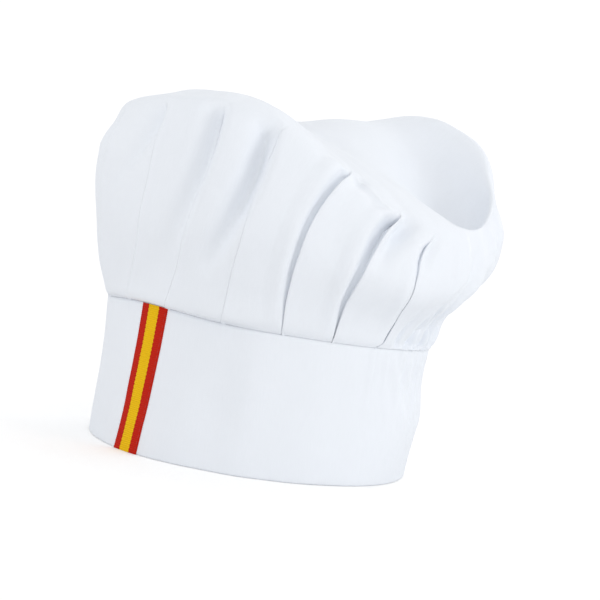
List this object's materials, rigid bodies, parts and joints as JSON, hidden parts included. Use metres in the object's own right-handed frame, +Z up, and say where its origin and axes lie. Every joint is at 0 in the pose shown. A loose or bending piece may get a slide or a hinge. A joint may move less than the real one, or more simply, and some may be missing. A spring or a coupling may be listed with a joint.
{
  "type": "chef toque",
  "caption": "Low chef's hat: a stiff front band with a striped ribbon, an elasticated back, and a soft crown of pressed pleats that puffs over the band.",
  "frame": {"origin": "centre of the band's bottom edge, in the plane it stands on", "axes": "+Z up through the crown, -Y to the centre front where the ribbon is, +X to the wearer's left"},
  "size_m": [0.2335, 0.2385, 0.2123],
  "materials": {
    "white_cloth": "matt cotton and polyester drill, fine weave",
    "interfacing": "matt non-woven stiffener",
    "elastic": "ribbed woven elastic",
    "ribbon_yellow": "ribbed grosgrain, slight sheen",
    "ribbon_red": "ribbed grosgrain, slight sheen",
    "red_thread": "spun polyester thread",
    "white_thread": "spun polyester thread",
    "label_satin": "blank satin tape"
  },
  "bodies": {
    "hat": {"front_band": "white_cloth", "front_band_interfacing": "interfacing", "crown": "white_cloth", "crown_seam_overlock": "white_thread", "crown_seam_stitching": "white_thread", "ribbon_centre_stripe": "ribbon_yellow", "ribbon_left_stripe": "ribbon_red", "ribbon_right_stripe": "ribbon_red", "ribbon_stitching": "red_thread", "left_side_seam_stitching": "white_thread", "right_side_seam_stitching": "white_thread", "care_label": "label_satin"},
    "back_panel": {"back_band": "white_cloth", "back_elastic": "elastic", "elastic_end_stitching": "white_thread"}
  },
  "joints": [
    {"name": "back_stretch", "type": "slide", "parent": "hat", "child": "back_panel", "axis": [0, 1, 0], "range_m": [0, 0.02], "stiffness_N_per_m": 150}
  ]
}
